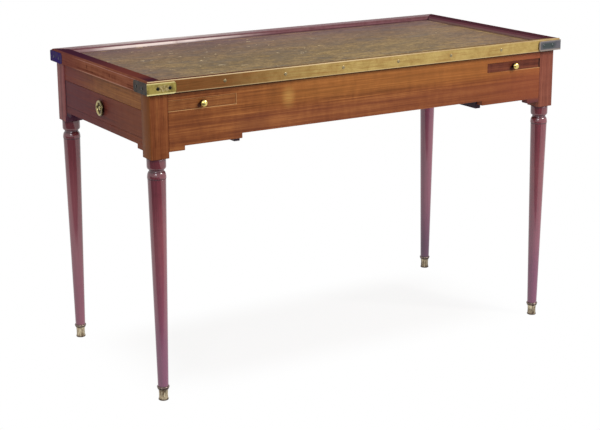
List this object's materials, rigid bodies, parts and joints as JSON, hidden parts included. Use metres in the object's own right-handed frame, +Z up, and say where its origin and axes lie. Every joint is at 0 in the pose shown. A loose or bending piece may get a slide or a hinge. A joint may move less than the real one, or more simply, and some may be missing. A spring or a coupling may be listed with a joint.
{
  "type": "tric-trac table",
  "caption": "Mahogany games table on turned tapering legs with brass feet; a lift-off leather top covers a playing well, with end drawers and pull-out candle slides.",
  "frame": {"origin": "on the floor, under the middle of the table", "axes": "+X along the table to the right as seen from the front, +Y from the front to the back, +Z up"},
  "size_m": [1.1626, 0.557, 0.748],
  "materials": {
    "mahogany": "old French polish, satin to gloss",
    "mahogany_leg": "old French polish, gloss",
    "mahogany_dark": "old French polish, satin",
    "oak": "bare, dry",
    "brass": "worn, lightly tarnished",
    "brass_dark": "dark tarnish",
    "leather": "worn olive-brown hide",
    "baize": "felted wool"
  },
  "bodies": {
    "case": {"leg_front_left": "mahogany_leg", "leg_front_right": "mahogany_leg", "leg_back_left": "mahogany_leg", "leg_back_right": "mahogany_leg", "sabot_front_left": "brass", "sabot_front_right": "brass", "sabot_back_left": "brass", "sabot_back_right": "brass", "front_apron": "mahogany", "back_apron": "mahogany", "end_top_rail_left": "mahogany", "end_top_rail_right": "mahogany", "end_bottom_rail_left": "mahogany_dark", "end_bottom_rail_right": "mahogany_dark", "partition_left": "mahogany_dark", "partition_right": "mahogany_dark", "well_floor": "mahogany", "centre_bar": "mahogany_dark", "end_deck_left": "mahogany", "end_deck_right": "mahogany", "slide_bearer_left": "oak", "slide_bearer_right": "oak", "slide_stop_left": "oak", "slide_stop_right": "oak", "drawer_runner_front_left": "oak", "drawer_runner_back_left": "oak", "drawer_runner_front_right": "oak", "drawer_runner_back_right": "oak"},
    "top": {"rim_front": "mahogany", "rim_back": "mahogany", "rim_left": "mahogany", "rim_right": "mahogany", "top_panel": "oak", "leather_lining": "leather", "baize_lining": "baize", "brass_edge_strip": "brass", "corner_bracket_front_left": "brass", "corner_bracket_front_right": "brass_dark", "corner_bracket_back_left": "brass_dark", "corner_bracket_back_right": "brass_dark"},
    "drawer_left": {"drawer_left_front": "mahogany_dark", "drawer_left_side_front": "oak", "drawer_left_side_back": "oak", "drawer_left_back": "oak", "drawer_left_bottom": "oak", "drawer_left_knob": "brass"},
    "drawer_right": {"drawer_right_front": "mahogany_dark", "drawer_right_side_front": "oak", "drawer_right_side_back": "oak", "drawer_right_back": "oak", "drawer_right_bottom": "oak", "drawer_right_knob": "brass"},
    "slide_front_left": {"candle_slide_front_left": "mahogany", "slide_knob_front_left": "brass"},
    "slide_front_right": {"candle_slide_front_right": "mahogany", "slide_knob_front_right": "brass"},
    "slide_back_left": {"candle_slide_back_left": "mahogany", "slide_knob_back_left": "brass"},
    "slide_back_right": {"candle_slide_back_right": "mahogany", "slide_knob_back_right": "brass"}
  },
  "joints": [
    {"name": "top_lift", "type": "slide", "parent": "case", "child": "top", "axis": [0, 0, 1], "range_m": [0, 0.2]},
    {"name": "drawer_left_pull", "type": "slide", "parent": "case", "child": "drawer_left", "axis": [-1, 0, 0], "range_m": [0, 0.15]},
    {"name": "drawer_right_pull", "type": "slide", "parent": "case", "child": "drawer_right", "axis": [1, 0, 0], "range_m": [0, 0.15]},
    {"name": "slide_front_left_pull", "type": "slide", "parent": "case", "child": "slide_front_left", "axis": [0, -1, 0], "range_m": [0, 0.17]},
    {"name": "slide_front_right_pull", "type": "slide", "parent": "case", "child": "slide_front_right", "axis": [0, -1, 0], "range_m": [0, 0.17]},
    {"name": "slide_back_left_pull", "type": "slide", "parent": "case", "child": "slide_back_left", "axis": [0, 1, 0], "range_m": [0, 0.17]},
    {"name": "slide_back_right_pull", "type": "slide", "parent": "case", "child": "slide_back_right", "axis": [0, 1, 0], "range_m": [0, 0.17]}
  ]
}
